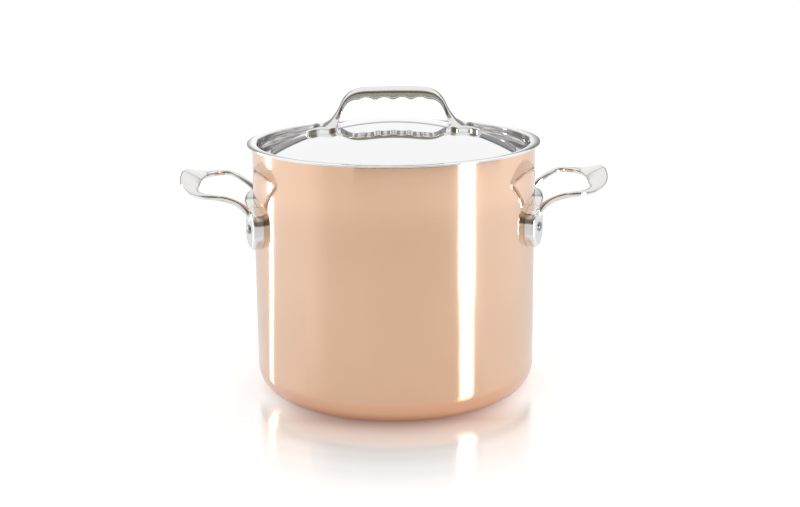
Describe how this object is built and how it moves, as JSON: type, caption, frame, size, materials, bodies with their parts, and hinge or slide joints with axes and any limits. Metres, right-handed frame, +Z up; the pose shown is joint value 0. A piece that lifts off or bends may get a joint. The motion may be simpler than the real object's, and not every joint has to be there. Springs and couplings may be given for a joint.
{
  "type": "stockpot",
  "caption": "Copper stockpot with a steel lining, riveted cast loop handles and a domed lift-off steel lid with a bow handle.",
  "frame": {"origin": "centre of the pot's flat base, at its underside", "axes": "+X from the left loop handle to the right one, +Y from front to back, +Z up"},
  "size_m": [0.3716, 0.2524, 0.265],
  "materials": {
    "copper": "polished copper",
    "lining": "satin",
    "lid_steel": "polished",
    "cast_steel": "polished casting",
    "rivet_steel": "satin"
  },
  "bodies": {
    "pot": {"copper_shell": "copper", "steel_lining": "lining", "left_handle": "cast_steel", "right_handle": "cast_steel", "left_handle_rivet_front": "rivet_steel", "left_handle_rivet_rear": "rivet_steel", "right_handle_rivet_front": "rivet_steel", "right_handle_rivet_rear": "rivet_steel"},
    "lid": {"lid_cover": "lid_steel", "lid_handle": "cast_steel", "lid_rivet_left": "rivet_steel", "lid_rivet_right": "rivet_steel"}
  },
  "joints": [
    {"name": "lid_lift", "type": "slide", "parent": "pot", "child": "lid", "axis": [0, 0, 1], "range_m": [0, 0.2]}
  ]
}
